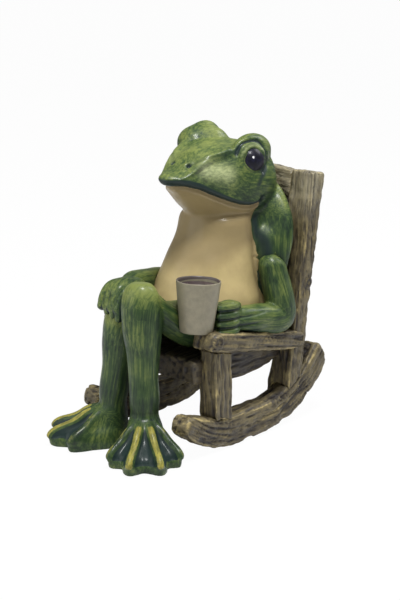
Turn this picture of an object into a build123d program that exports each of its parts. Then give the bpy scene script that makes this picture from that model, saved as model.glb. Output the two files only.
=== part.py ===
from build123d import *
import os
from math import cos, radians, sin, tan

# A painted resin frog holding a cup, seated in a rustic log rocking chair. Lengths are in millimetres.
# Z is up, the frog faces -Y, and its own left side is +X.
# Pieces are drawn with Y = 0 near the middle of the rockers, and are moved by rest_y as they are written,
# so that the origin lies on the floor under the middle of the figurine.
rest_y = 9.6

# Rockers: two curved runners, worn flat where they stand, with a long crack in each side.
# The lower and the upper line each curve up from a level stretch to the two ends.
rocker_width = 10.0
rocker_spacing = 53.0
rocker_depth = 13.6
rocker_round = 2.2
rocker_end_round = 3.4
rocker_low_front_y = -43.0
rocker_low_front_z = 12.5
rocker_flat_front_y = -12.0
rocker_flat_rear_y = 5.0
rocker_low_rear_y = 50.0
rocker_low_rear_z = 23.0
rocker_high_front_y = -40.5
rocker_high_front_z = 20.5
rocker_high_rear_y = 43.0
rocker_high_rear_z = 35.0
crack_front_y = -37.0
crack_front_z = 14.2
crack_middle_y = -1.0
crack_middle_z = 5.8
crack_rear_y = 43.5
crack_rear_z = 27.0
crack_width = 1.3
crack_depth = 0.9

# Front posts, standing on the rockers under the armrests.
front_post_width = 10.0
front_post_depth = 10.5
front_post_y = -19.8
front_post_round = 1.5

# Back posts, leaning back from the rockers, with rough rounded tops.
back_post_width = 12.5
back_post_depth = 8.5
back_post_x = 25.3
back_post_foot_y = 25.5
back_post_foot_z = 14.0
back_post_top_z = 112.0
back_post_lean = 8.7
back_post_round = 1.6

# Armrests, sloping down from the front to the back posts.
arm_width = 12.5
arm_depth = 8.5
arm_x = 26.3
arm_front_y = -28.0
arm_front_z = 48.3
arm_slope = 11.0
arm_round = 2.2

# Seat slab, notched round the four posts.
seat_half_width = 24.5
seat_thickness = 10.0
seat_top_z = 39.0
seat_front_y = -30.0
seat_rear_y = 33.0
seat_round = 1.8

# Back: an arched crest rail and three slats, all in the plane of the back posts.
crest_depth = 7.0
crest_top_z = 110.5
crest_height = 13.0
crest_rise = 3.5
crest_round = 1.6
slat_width = 8.5
slat_depth = 4.5
slat_pitch = 12.2
slat_round = 1.0

# Torso: a belly and a broad back, each lofted through level ellipses, cut off flat at the neck.
# Each level gives its height, its foremost and rearmost Y and its half width, as shares of the torso's sizes.
torso_height = 54.0
torso_depth = 50.0
torso_width = 48.0
belly_shares = (
    (0.00, -0.30, 0.52, 0.40),
    (0.20, -0.43, 0.54, 0.47),
    (0.38, -0.44, 0.55, 0.49),
    (0.50, -0.38, 0.56, 0.44),
    (0.66, -0.29, 0.58, 0.40),
    (0.80, -0.19, 0.60, 0.38),
    (0.90, -0.14, 0.62, 0.38),
    (1.00, -0.12, 0.60, 0.38),
)
back_shares = (
    (0.00, 0.16, 0.46, 0.44),
    (0.20, 0.20, 0.50, 0.52),
    (0.45, 0.26, 0.54, 0.60),
    (0.70, 0.30, 0.59, 0.63),
    (0.90, 0.33, 0.64, 0.64),
    (1.04, 0.36, 0.66, 0.58),
    (1.16, 0.42, 0.66, 0.46),
    (1.24, 0.48, 0.64, 0.30),
)

# Head: a long three-cornered snout widening to the cheeks, lofted through upright sections from tip to nape.
# Each section gives its Y, and for half its outline the width of chin, lip and crown, then the height of
# chin, lip and crown, all as shares of the head's length, half width and height above the neck.
head_length = 56.0
head_half_width = 21.5
head_height = 32.0
head_tip_y = -23.5
head_shares = (
    (0.00, 0.05, 0.09, 0.05, 0.58, 0.64, 0.71),
    (0.04, 0.12, 0.21, 0.12, 0.50, 0.62, 0.77),
    (0.15, 0.26, 0.40, 0.22, 0.32, 0.55, 0.82),
    (0.32, 0.47, 0.64, 0.38, 0.03, 0.45, 0.89),
    (0.50, 0.60, 0.86, 0.62, -0.10, 0.37, 0.95),
    (0.67, 0.68, 0.98, 0.72, -0.16, 0.32, 0.96),
    (0.84, 0.66, 0.95, 0.66, -0.14, 0.34, 0.91),
    (0.96, 0.46, 0.66, 0.42, -0.04, 0.38, 0.76),
    (1.00, 0.22, 0.32, 0.20, 0.10, 0.38, 0.60),
)
# How far up to the lip the chin's corner lies, and how far down to it the crown's corner lies.
chin_share = 0.3
crown_share = 0.15
brow_x = 13.6
brow_y = 15.6
brow_z = 118.7
brow_half_width = 5.9
brow_half_length = 11.4
brow_half_height = 11.4
eye_radius = 5.2
eye_x = 15.2
eye_y = 13.2
eye_z = 119.0

# Arms: the left forearm lies on its armrest and holds the cup, the right hand rests on the right knee.
left_shoulder = (24.6, 17.0, 73.5)
left_elbow = (28.8, 19.3, 49.4)
left_wrist = (27.4, -5.5, 53.0)
right_shoulder = (-24.0, 18.0, 74.0)
right_elbow = (-28.0, 15.0, 57.0)
right_wrist = (-15.5, -26.5, 64.5)
shoulder_radius = 5.6
upper_arm_radius = 6.2
elbow_radius = 5.8
forearm_root_radius = 5.2
forearm_radius = 6.1
wrist_radius = 5.5
left_hand = (26.0, -12.0, 55.6)
left_hand_half = (5.4, 6.6, 7.2)
right_hand = (-9.8, -36.8, 64.8)
right_hand_half = (6.8, 8.6, 5.4)
finger_radius = 2.3
finger_pitch = 4.6

# Legs: thick thighs lie on the seat and rise to the knees, shins stand before the seat.
left_hip = (10.8, 6.0, 49.5)
right_hip = (-10.8, 6.0, 49.5)
left_lap = (9.4, -20.0, 51.5)
right_lap = (-9.4, -20.0, 51.0)
left_knee = (6.6, -43.0, 65.0)
right_knee = (-8.4, -38.4, 53.5)
left_ankle = (10.2, -45.5, 20.0)
right_ankle = (-10.2, -44.0, 20.0)
hip_radius = 11.0
lap_radius = 10.0
thigh_end_radius = 6.6
knee_radius = 8.2
shin_radius = 6.9
ankle_radius = 5.9

# Feet: four toes joined by webs, a fan of shares of the toe reach at angles from the foot's own line.
left_toe_reach = 26.5
right_toe_reach = 27.5
foot_height = 20.0
left_foot_turn = 45.0
right_foot_turn = 50.0
fan_shares = (
    (0, 0.86),
    (7, 0.92),
    (14, 1.00),
    (22, 0.91),
    (29, 0.77),
    (35, 0.80),
    (41, 0.83),
    (49, 0.73),
    (60, 0.53),
    (78, 0.41),
    (104, 0.32),
    (142, 0.26),
    (180, 0.25),
)
# Shares of the foot's height, and how far the fan has drawn in to the ankle there.
foot_level_shares = (
    (0.00, 0.04),
    (0.13, 0.00),
    (0.27, 0.05),
    (0.40, 0.28),
    (0.58, 0.62),
    (0.79, 0.90),
    (1.00, 1.00),
)

# Cup, held upright in the left hand over the front end of the left armrest, full of coffee.
cup_x = 21.6
cup_y = -26.6
cup_foot_z = 51.0
cup_height = 21.6
cup_foot_radius = 7.0
cup_rim_radius = 9.4
cup_wall = 1.0
cup_floor = 1.8
cup_lean = 4.0
coffee_drop = 2.2

# Rounded ends of limbs: shares of the end radius, as how far past the end, and how wide there.
cap_shares = ((0.9, 0.42), (0.52, 0.85))
# Eggs: turns in degrees up a half circle, one for each level section.
egg_turns = (-80, -60, -35, 0, 35, 60, 80)


def crack_outline():
    """The long crack in a rocker's side: two arcs that meet at both ends."""
    front, rear = (crack_front_y, crack_front_z), (crack_rear_y, crack_rear_z)
    ThreePointArc(front, (crack_middle_y, crack_middle_z), rear)
    ThreePointArc(front, (crack_middle_y, crack_middle_z + crack_width), rear)


def rocker_outline():
    """The side view of a rocker in the YZ plane: level and rising stretches, and two cut ends."""
    low_front, low_rear = (rocker_low_front_y, rocker_low_front_z), (rocker_low_rear_y, rocker_low_rear_z)
    high_front = (rocker_high_front_y, rocker_high_front_z)
    high_rear = (rocker_high_rear_y, rocker_high_rear_z)
    flat_front, flat_rear = (rocker_flat_front_y, 0), (rocker_flat_rear_y, 0)
    ledge_front, ledge_rear = (rocker_flat_front_y, rocker_depth), (rocker_flat_rear_y, rocker_depth)
    TangentArc(flat_front, low_front, tangent=(-1, 0))
    Line(flat_front, flat_rear)
    TangentArc(flat_rear, low_rear, tangent=(1, 0))
    Line(low_rear, high_rear)
    TangentArc(ledge_rear, high_rear, tangent=(1, 0))
    Line(ledge_rear, ledge_front)
    TangentArc(ledge_front, high_front, tangent=(-1, 0))
    Line(high_front, low_front)


def rocker(side):
    """One rocker; side is 1 for the frog's left and -1 for its right."""
    outer_x = side * rocker_spacing / 2 + rocker_width / 2
    with BuildPart() as made:
        with BuildSketch(Plane.YZ.offset(outer_x)) as face:
            with BuildLine():
                rocker_outline()
            make_face()
            front_to_rear = face.vertices().sort_by(Axis.X)
            fillet([*front_to_rear[:2], *front_to_rear[-2:]], rocker_end_round)
        extrude(amount=-rocker_width)
        fillet(made.faces().filter_by(Axis.X).edges(), rocker_round)
        for cut_x, inward in ((outer_x, -1), (outer_x - rocker_width, 1)):
            with BuildSketch(Plane.YZ.offset(cut_x)):
                with BuildLine():
                    crack_outline()
                make_face()
            extrude(amount=inward * crack_depth, mode=Mode.SUBTRACT)
    return made


def post_y(z):
    """Middle of the leaning back posts at a height."""
    return back_post_foot_y + (z - back_post_foot_z) * tan(radians(back_post_lean))


def lean_plane(z, x=0):
    """A plane square to the back posts at a height, its normal pointing up along them."""
    lean = radians(back_post_lean)
    return Plane(origin=(x, post_y(z), z), x_dir=(1, 0, 0), z_dir=(0, sin(lean), cos(lean)))


def square_log(plane, width, depth, length, edge_round):
    """A log hewn square: a rounded rectangle extruded along its plane's normal."""
    with BuildPart() as made:
        with BuildSketch(plane):
            RectangleRounded(width, depth, edge_round)
        extrude(amount=length)
    return made


def back_post(side):
    """A leaning back post, with the rocker it stands on cut out of its foot."""
    length = (back_post_top_z - back_post_foot_z) / cos(radians(back_post_lean))
    with BuildPart() as made:
        with BuildSketch(lean_plane(back_post_foot_z - rocker_round, side * back_post_x)):
            RectangleRounded(back_post_width, back_post_depth, back_post_round)
        extrude(amount=length)
        fillet(made.faces().sort_by(Axis.Z)[-1].edges(), back_post_round)
        add(rockers[side].part, mode=Mode.SUBTRACT)
    return made


def armrest(side):
    """A sloping armrest from its front end to the front face of the back post."""
    slope = radians(arm_slope)
    start = Plane(
        origin=(side * arm_x, arm_front_y, arm_front_z),
        x_dir=(1, 0, 0),
        z_dir=(0, cos(slope), -sin(slope)),
    )
    reach = post_y(arm_front_z) - arm_front_y
    with BuildPart() as made:
        with BuildSketch(start):
            RectangleRounded(arm_width, arm_depth, arm_round)
        extrude(amount=reach / cos(slope))
        fillet(made.faces().sort_by(Axis.Y)[0].edges(), arm_round)
        add(back_posts[side].part, mode=Mode.SUBTRACT)
    return made


def front_post(side):
    """A front post between the rocker and the armrest."""
    outer = rocker_spacing / 2
    with BuildPart() as made:
        with BuildSketch(Plane((side * outer, front_post_y, rocker_depth - rocker_round))):
            RectangleRounded(front_post_width, front_post_depth, front_post_round)
        extrude(amount=arm_front_z - rocker_depth)
        add(rockers[side].part, mode=Mode.SUBTRACT)
        add(armrests[side].part, mode=Mode.SUBTRACT)
    return made


def egg(middle, half_sizes):
    """An egg: level ellipses that follow a half circle from bottom to top, lofted."""
    half_wide, half_long, half_high = half_sizes
    x, y, z = middle
    with BuildPart() as made:
        for turn in egg_turns:
            across = cos(radians(turn))
            level = (x, y, z + half_high * sin(radians(turn)))
            with BuildSketch(Plane(origin=level, x_dir=(0, 1, 0), z_dir=(0, 0, 1))):
                Ellipse(half_long * across, half_wide * across)
        loft()
    return made.part


def station(middle, way):
    """A plane at a limb's station, square to its way on, with X kept across the figure."""
    across = Vector(1, 0, 0)
    across = across - way * across.dot(way)
    return Plane(origin=middle, x_dir=across, z_dir=way)


def limb(points, radii):
    """A round limb through its points, a radius at each, with rounded ends."""
    points = [Vector(*point) for point in points]
    legs = [(end - start).normalized() for start, end in zip(points, points[1:])]
    ways = [legs[0], *[(one + two).normalized() for one, two in zip(legs, legs[1:])], legs[-1]]
    stations = list(zip(points, ways, radii))
    first = [(points[0] - legs[0] * (past * radii[0]), legs[0], wide * radii[0])
             for past, wide in cap_shares]
    last = [(points[-1] + legs[-1] * (past * radii[-1]), legs[-1], wide * radii[-1])
            for past, wide in reversed(cap_shares)]
    with BuildPart() as made:
        for middle, way, radius in first + stations + last:
            with BuildSketch(station(middle, way)):
                Circle(radius)
        loft()
    return made.part


def middle_of(start, end):
    """The point halfway between two points."""
    return tuple((one + two) / 2 for one, two in zip(start, end))


def cut_from(shape, neighbours):
    """The body of a piece, with the neighbours that it meets cut away, so that they touch face to face."""
    with BuildPart() as trimmed:
        add(shape)
        for neighbour in neighbours:
            add(neighbour.part, mode=Mode.SUBTRACT)
    with BuildPart() as made:
        add(trimmed.part.solids().sort_by(SortBy.VOLUME)[-1])
    return made


rockers = {side: rocker(side) for side in (1, -1)}
back_posts = {side: back_post(side) for side in (1, -1)}
armrests = {side: armrest(side) for side in (1, -1)}
front_posts = {side: front_post(side) for side in (1, -1)}

with BuildPart() as seat:
    with BuildSketch(Plane.XY.offset(seat_top_z - seat_thickness)):
        with Locations((0, (seat_front_y + seat_rear_y) / 2)):
            Rectangle(2 * seat_half_width, seat_rear_y - seat_front_y)
    extrude(amount=seat_thickness)
    fillet(seat.edges(), seat_round)
    for side in (1, -1):
        add(back_posts[side].part, mode=Mode.SUBTRACT)
        add(front_posts[side].part, mode=Mode.SUBTRACT)
        add(armrests[side].part, mode=Mode.SUBTRACT)

with BuildPart() as crest_rail:
    with BuildSketch(Plane(
        origin=(0, post_y(crest_top_z), crest_top_z),
        x_dir=(1, 0, 0),
        z_dir=(0, -cos(radians(back_post_lean)), sin(radians(back_post_lean))),
    )):
        with BuildLine():
            ThreePointArc((-back_post_x, -crest_rise), (0, 0), (back_post_x, -crest_rise))
            Line((back_post_x, -crest_rise), (back_post_x, -crest_height))
            Line((back_post_x, -crest_height), (-back_post_x, -crest_height))
            Line((-back_post_x, -crest_height), (-back_post_x, -crest_rise))
        make_face()
    extrude(amount=crest_depth / 2, both=True)
    fillet(crest_rail.edges().filter_by(Axis.X), crest_round)
    for side in (1, -1):
        add(back_posts[side].part, mode=Mode.SUBTRACT)

slat_length = (crest_top_z - crest_height / 2 - seat_top_z) / cos(radians(back_post_lean))
slats = {}
for place in (-1, 0, 1):
    foot = lean_plane(seat_top_z - slat_round, place * slat_pitch)
    slat = square_log(foot, slat_width, slat_depth, slat_length, slat_round)
    slats[place] = cut_from(slat.part, (crest_rail, seat))

neck_z = seat_top_z + torso_height


def level_loft(shares):
    """Level ellipses from the seat to the neck, lofted."""
    with BuildPart() as made:
        for height, front, rear, half in shares:
            middle = (front + rear) / 2 * torso_depth
            with BuildSketch(Plane((0, middle, seat_top_z + height * torso_height))):
                Ellipse(half * torso_width, (rear - front) / 2 * torso_depth)
        loft()
    return made


belly = level_loft(belly_shares)
back = level_loft(back_shares)
with BuildPart() as torso:
    add(belly.part)
    add(back.part)
    for neighbour in (*slats.values(), *back_posts.values(), *armrests.values(), crest_rail):
        add(neighbour.part, mode=Mode.SUBTRACT)


def head_section(share, chin, lip, crown, chin_up, lip_up, crown_up):
    """One upright section of the head as a smooth closed curve."""
    wide = head_half_width
    high = head_height
    side_points = [
        (chin * wide, neck_z + (chin_up + (lip_up - chin_up) * chin_share) * high),
        (lip * wide, neck_z + lip_up * high),
        (crown * wide, neck_z + (crown_up + (lip_up - crown_up) * crown_share) * high),
    ]
    right = [(-x, z) for x, z in side_points]
    points = [(0, neck_z + chin_up * high), *side_points, (0, neck_z + crown_up * high), *right[::-1]]
    upright = Plane(origin=(0, head_tip_y + share * head_length, 0), x_dir=(1, 0, 0), z_dir=(0, -1, 0))
    with BuildSketch(upright) as section:
        with BuildLine():
            Spline(*points, periodic=True)
        make_face()
    return section.sketch


eyes = {}
for side in (1, -1):
    with BuildPart() as eye:
        with Locations((side * eye_x, eye_y, eye_z)):
            Sphere(eye_radius)
    eyes[side] = eye
with BuildPart() as right_half:
    loft([head_section(*row) for row in head_shares])
    add(egg((-brow_x, brow_y, brow_z), (brow_half_width, brow_half_length, brow_half_height)))
    split(bisect_by=Plane.XY.offset(neck_z), keep=Keep.TOP)
    add(eyes[-1].part, mode=Mode.SUBTRACT)
    split(bisect_by=Plane.YZ, keep=Keep.BOTTOM)
with BuildPart() as head:
    add(right_half.part)
    mirror(about=Plane.YZ)
skull = cut_from(head.part, (torso, crest_rail))

cup_upright = (0, sin(radians(cup_lean)), cos(radians(cup_lean)))
cup_plane = Plane(origin=(cup_x, cup_y, cup_foot_z), x_dir=(1, 0, 0), z_dir=cup_upright)
with BuildPart() as cup_shape:
    with BuildSketch(cup_plane):
        Circle(cup_foot_radius)
    with BuildSketch(cup_plane.offset(cup_height)):
        Circle(cup_rim_radius)
    loft()
cup_flare = (cup_rim_radius - cup_foot_radius) / cup_height
with BuildPart() as cup_hollow:
    with BuildSketch(cup_plane.offset(cup_floor)):
        Circle(cup_foot_radius + cup_flare * cup_floor - cup_wall)
    with BuildSketch(cup_plane.offset(cup_height)):
        Circle(cup_rim_radius - cup_wall)
    loft()
with BuildPart() as cup:
    add(cup_shape.part)
    add(cup_hollow.part, mode=Mode.SUBTRACT)
with BuildPart() as coffee:
    add(cup_hollow.part)
    split(bisect_by=cup_plane.offset(cup_height - coffee_drop), keep=Keep.BOTTOM)

armrests[1] = cut_from(armrests[1].part, (cup_shape,))

arm_joints = {
    1: (left_shoulder, left_elbow, left_wrist),
    -1: (right_shoulder, right_elbow, right_wrist),
}
leg_joints = {
    1: (left_hip, left_lap, left_knee, left_ankle),
    -1: (right_hip, right_lap, right_knee, right_ankle),
}
toe_fans = {1: (left_toe_reach, left_foot_turn), -1: (right_toe_reach, -right_foot_turn)}


def foot_outline(ankle, longest, turn, height, drawn_in):
    """One level of a foot: the toe fan round the ankle, drawn in towards the ankle's circle."""
    spots = [(angle, reach) for angle, reach in fan_shares]
    spots += [(-angle, reach) for angle, reach in fan_shares[-2:0:-1]]
    points = []
    for angle, reach in spots:
        radius = longest * reach * (1 - drawn_in) + ankle_radius * drawn_in
        way = radians(turn + angle - 90)
        points.append((ankle[0] + radius * cos(way), ankle[1] + radius * sin(way)))
    with BuildSketch(Plane.XY.offset(height * foot_height)) as level:
        with BuildLine():
            Spline(*points, periodic=True)
        make_face()
    return level.sketch


limbs = {}
for side, word in {1: "left", -1: "right"}.items():
    shoulder, elbow, wrist = arm_joints[side]
    hip, lap, knee, ankle = leg_joints[side]
    with BuildPart() as foot:
        loft([foot_outline(ankle, *toe_fans[side], *level) for level in foot_level_shares])
    shin_shape = limb((knee, middle_of(knee, ankle), ankle), (knee_radius, shin_radius, ankle_radius))
    with BuildPart() as shin:
        add(shin_shape)
        split(bisect_by=Plane.XY.offset(foot_height), keep=Keep.TOP)
    thigh_shape = limb((hip, lap, knee), (hip_radius, lap_radius, thigh_end_radius))
    thigh_neighbours = [torso, shin, seat, cup_shape, armrests[side]]
    if side == -1:
        thigh_neighbours.append(limbs["thigh_left"])
    thigh = cut_from(thigh_shape, thigh_neighbours)
    upper_shape = limb((shoulder, middle_of(shoulder, elbow), elbow),
                       (shoulder_radius, upper_arm_radius, elbow_radius))
    upper_arm = cut_from(upper_shape, (torso, skull, back_posts[side], armrests[side]))
    fore_shape = limb((elbow, middle_of(elbow, wrist), wrist),
                      (forearm_root_radius, forearm_radius, wrist_radius))
    forearm = cut_from(fore_shape, (torso, upper_arm, thigh, back_posts[side], armrests[side]))
    limbs["foot_" + word] = foot
    limbs["shin_" + word] = shin
    limbs["thigh_" + word] = thigh
    limbs["upper_arm_" + word] = upper_arm
    limbs["forearm_" + word] = forearm

x, y, z = left_hand
hand_wide, hand_long, hand_high = left_hand_half
with BuildPart() as hand_left:
    add(egg(left_hand, left_hand_half))
    for step in (-1, 0, 1):
        root = (x, y, z + step * finger_pitch)
        tip = (x - hand_wide / 2, y - hand_long - finger_radius, z + step * finger_pitch)
        add(limb((root, middle_of(root, tip), tip), (finger_radius, finger_radius, finger_radius)))
hand_left = cut_from(hand_left.part, (cup_shape, armrests[1], limbs["forearm_left"], torso,
                                      limbs["thigh_left"]))

x, y, z = right_hand
hand_wide, hand_long, hand_high = right_hand_half
with BuildPart() as hand_right:
    add(egg(right_hand, right_hand_half))
    for step in (-1, 0, 1):
        root = (x + step * finger_pitch, y - hand_long / 2, z)
        tip = (x + step * finger_pitch, y - hand_long, z - hand_high)
        add(limb((root, middle_of(root, tip), tip), (finger_radius, finger_radius, finger_radius)))
hand_right = cut_from(hand_right.part, (limbs["forearm_right"], limbs["shin_right"],
                                        limbs["thigh_right"], limbs["shin_left"], limbs["thigh_left"]))

pieces = {
    "seat": seat,
    "crest_rail": crest_rail,
    "back_slat_right": slats[-1],
    "back_slat_middle": slats[0],
    "back_slat_left": slats[1],
    "torso": torso,
    "head": skull,
    "hand_left": hand_left,
    "hand_right": hand_right,
    "cup": cup,
    "coffee": coffee,
    **limbs,
}
for side, word in {1: "left", -1: "right"}.items():
    pieces["rocker_" + word] = rockers[side]
    pieces["front_post_" + word] = front_posts[side]
    pieces["back_post_" + word] = back_posts[side]
    pieces["armrest_" + word] = armrests[side]
    pieces["eye_" + word] = eyes[side]

os.makedirs("parts", exist_ok=True)
for name, piece in pieces.items():
    solid = Pos(0, rest_y, 0) * piece.part
    solid.label = name
    export_step(solid, "parts/" + name + ".step")
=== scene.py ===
import bpy
import bmesh
import numpy as np
from math import cos, pi, radians, sin
from mathutils import Matrix, Vector
from mathutils.bvhtree import BVHTree


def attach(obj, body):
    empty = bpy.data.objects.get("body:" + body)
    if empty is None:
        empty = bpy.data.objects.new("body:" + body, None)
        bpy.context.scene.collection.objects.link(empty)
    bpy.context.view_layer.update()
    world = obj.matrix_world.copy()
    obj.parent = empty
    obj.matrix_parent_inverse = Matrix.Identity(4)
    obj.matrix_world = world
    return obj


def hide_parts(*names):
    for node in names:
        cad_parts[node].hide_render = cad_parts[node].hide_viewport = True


# A painted resin frog with a cup, in a rustic log rocking chair.
# Shapes are worked out in drawn millimetres: Z up, the frog facing -Y, its own left at +X,
# Y = 0 near the middle of the rockers. place() takes them to metres in the CAD frame.
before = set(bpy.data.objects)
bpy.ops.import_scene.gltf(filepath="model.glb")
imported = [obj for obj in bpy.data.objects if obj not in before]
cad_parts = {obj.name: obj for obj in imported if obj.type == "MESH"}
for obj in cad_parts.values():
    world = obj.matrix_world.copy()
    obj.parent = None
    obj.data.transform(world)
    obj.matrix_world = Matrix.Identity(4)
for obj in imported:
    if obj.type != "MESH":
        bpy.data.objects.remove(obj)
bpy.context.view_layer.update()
MM = 0.001
REST_Y = 9.6
UP = (0, 0, 1)
SIDES = ((1, "left"), (-1, "right"))


def place(points):
    """Drawn millimetres to metres in the frame."""
    return (np.asarray(points, float) + (0, REST_Y, 0)) * MM


def drawn(metres):
    """Metres in the frame to drawn millimetres."""
    return np.asarray(metres, float) / MM - (0, REST_Y, 0)


def unit(vector):
    vector = np.asarray(vector, float)
    return vector / np.linalg.norm(vector)


# The camera of the photograph.
VIEW_AZIMUTH = 43.0
VIEW_HEIGHT = 15.5
VIEW_TARGET = (12.0, -14.0, 60.2)
VIEW_DISTANCE = 600.0
PHOTO_WIDE, PHOTO_HIGH = 400, 600
PHOTO_FOCAL = 1432.0
SENSOR = 36.0
NEAR_CLIP = 0.01

turn, rise = radians(VIEW_AZIMUTH), radians(VIEW_HEIGHT)
view_back = np.array((sin(turn) * cos(rise), -cos(turn) * cos(rise), sin(rise)))
view_right = np.array((cos(turn), sin(turn), 0.0))
view_up = np.cross(view_back, view_right)
view_from = np.array(VIEW_TARGET) + VIEW_DISTANCE * view_back

lens = bpy.data.cameras.new("camera")
lens.sensor_fit = "VERTICAL"
lens.sensor_height = SENSOR
lens.lens = PHOTO_FOCAL / PHOTO_HIGH * SENSOR
lens.clip_start = NEAR_CLIP
camera = bpy.data.objects.new("camera", lens)
bpy.context.scene.collection.objects.link(camera)
camera.matrix_world = Matrix.Translation(place(view_from)) @ Matrix(
    np.column_stack((view_right, view_up, view_back)).tolist()
).to_4x4()
bpy.context.scene.camera = camera


# Noise, paths and masks.
CELLS = 256
SEED_SHIFT = 7.31
CLOUD_GAIN = 1.6
dice = np.random.default_rng(11)
shuffle = dice.permutation(CELLS)
slopes = dice.normal(size=(CELLS, 3))
slopes /= np.linalg.norm(slopes, axis=1, keepdims=True)


def cloud(at, size, seed):
    """Smooth noise of about -1 to 1, its lumps about size across, in mm."""
    spots = at / np.asarray(size, float) + seed * SEED_SHIFT
    cell = np.floor(spots).astype(int)
    part = spots - cell
    ease = part ** 3 * (part * (part * 6 - 15) + 10)
    total = np.zeros(len(at))
    for corner in np.ndindex(2, 2, 2):
        key = shuffle[(cell[:, 0] + corner[0]) % CELLS]
        key = shuffle[(key + cell[:, 1] + corner[1]) % CELLS]
        key = shuffle[(key + cell[:, 2] + corner[2]) % CELLS]
        weight = np.prod(np.where(np.array(corner) == 1, ease, 1 - ease), axis=1)
        total += weight * (slopes[key] * (part - corner)).sum(axis=1)
    return total * CLOUD_GAIN


def step(low, high, value):
    """0 below low, 1 above high, smooth between them."""
    share = np.clip((value - low) / (high - low), 0, 1)
    return share * share * (3 - 2 * share)


def fade(gap, width):
    """1 where the gap is nothing, falling away smoothly past the width."""
    return np.exp(-(gap / width) ** 2)


def smooth_path(points, pieces=8, loop=False):
    """A finer path, curving through the given points."""
    points = np.asarray(points, float)
    if len(points) == 2:
        return np.linspace(points[0], points[1], pieces + 1)
    if loop:
        ring = np.vstack((points[-1:], points, points[:2]))
    else:
        ring = np.vstack((2 * points[0] - points[1], points, 2 * points[-1] - points[-2]))
    fine = []
    for a, b, c, d in zip(ring, ring[1:], ring[2:], ring[3:]):
        for s in np.arange(pieces) / pieces:
            fine.append(0.5 * (2 * b + (c - a) * s + (2 * a - 5 * b + 4 * c - d) * s ** 2
                               + (3 * b - 3 * c + d - a) * s ** 3))
    fine.append(points[0] if loop else points[-1])
    return np.array(fine)


class Near:
    """For each point its gap to a path, and where and which way the path runs at its foot there."""

    def __init__(self, at, path):
        path = np.asarray(path, float)
        legs = path[1:] - path[:-1]
        lengths = np.linalg.norm(legs, axis=1)
        starts = np.concatenate(((0,), np.cumsum(lengths)))
        self.gap = np.full(len(at), np.inf)
        self.run = np.zeros(len(at))
        self.foot = np.zeros((len(at), 3))
        self.way = np.zeros((len(at), 3))
        for first, leg, length, start in zip(path, legs, lengths, starts):
            share = np.clip((at - first) @ leg / length ** 2, 0, 1)
            foot = first + share[:, None] * leg
            gap = np.linalg.norm(at - foot, axis=1)
            nearer = gap < self.gap
            self.gap[nearer] = gap[nearer]
            self.run[nearer] = start + share[nearer] * length
            self.foot[nearer] = foot[nearer]
            self.way[nearer] = leg / length


FLOW_SQUEEZE = 0.08
HEAD_SQUEEZE = 0.2
SLANT = (0.577, 0.577, 0.577)


def flow_of(at, path, squeeze=FLOW_SQUEEZE):
    """Coordinates that run slowly along a path and fast across it, for strokes and grain."""
    near = Near(at, path)
    ahead = ((at - near.foot) * near.way).sum(axis=1)
    across = at - near.foot - ahead[:, None] * near.way
    return across + np.outer((near.run + ahead) * squeeze, SLANT)


# How far from the camera a sight line that misses a piece is searched for the nearest skin.
SEARCH_FROM, SEARCH_TO, SEARCH_STEP = 520, 700, 1.0


class Skin:
    """A dense mesh to push into shape: its corners in drawn millimetres, and their outward ways."""

    def __init__(self, obj):
        self.obj = obj
        self.read()

    def read(self):
        mesh = self.obj.data
        flat = np.empty(len(mesh.vertices) * 3, np.float32)
        mesh.vertices.foreach_get("co", flat)
        self.at = drawn(flat.reshape(-1, 3))
        mesh.vertex_normals.foreach_get("vector", flat)
        self.out = flat.reshape(-1, 3).astype(float)

    def write(self):
        mesh = self.obj.data
        mesh.vertices.foreach_set("co", place(self.at).astype(np.float32).ravel())
        mesh.update()
        self.read()

    def push(self, amount):
        """Moves every corner outwards by its amount in mm."""
        self.at = self.at + self.out * np.asarray(amount)[:, None]
        self.write()

    def move(self, by):
        self.at = self.at + by
        self.write()

    def soften(self, rounds, where=None):
        """Smooths the skin, or only where a mask says."""
        before = self.at.copy()
        add_smoothing(self.obj, rounds)
        finish_shape(self.obj)
        self.read()
        if where is not None:
            self.at = before + (self.at - before) * where[:, None]
            self.write()

    def paint(self, name, values):
        """Keeps a value for every corner, for the finishes to read."""
        values = np.asarray(values, np.float32)
        kind = "FLOAT_VECTOR" if values.ndim == 2 else "FLOAT"
        layer = self.obj.data.attributes.new(name, kind, "POINT")
        layer.data.foreach_set("vector" if values.ndim == 2 else "value", values.ravel())

    def seen(self, pixels):
        """Where pixels of the photograph fall on this piece, in drawn millimetres."""
        tree = BVHTree.FromObject(self.obj, bpy.context.evaluated_depsgraph_get())
        start = Vector(place(view_from))
        found = []
        for u, v in pixels:
            ray = unit((u - PHOTO_WIDE / 2) * view_right - (v - PHOTO_HIGH / 2) * view_up
                       - PHOTO_FOCAL * view_back)
            hit = tree.ray_cast(start, Vector(ray))[0]
            if hit is None:
                tries = [start + Vector(ray * reach * MM)
                         for reach in np.arange(SEARCH_FROM, SEARCH_TO, SEARCH_STEP)]
                hit = min((tree.find_nearest(spot) for spot in tries), key=lambda near: near[3])[0]
            found.append(drawn(hit))
        return np.array(found)


def add_smoothing(obj, rounds):
    smooth = obj.modifiers.new("soften", "SMOOTH")
    smooth.factor = 0.5
    smooth.iterations = rounds


def finish_shape(obj):
    """Applies the modifiers and shades smooth."""
    graph = bpy.context.evaluated_depsgraph_get()
    mesh = bpy.data.meshes.new_from_object(obj.evaluated_get(graph))
    obj.modifiers.clear()
    obj.data = mesh
    mesh.name = obj.name
    mesh.polygons.foreach_set("use_smooth", np.ones(len(mesh.polygons), bool))
    mesh.update()


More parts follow.
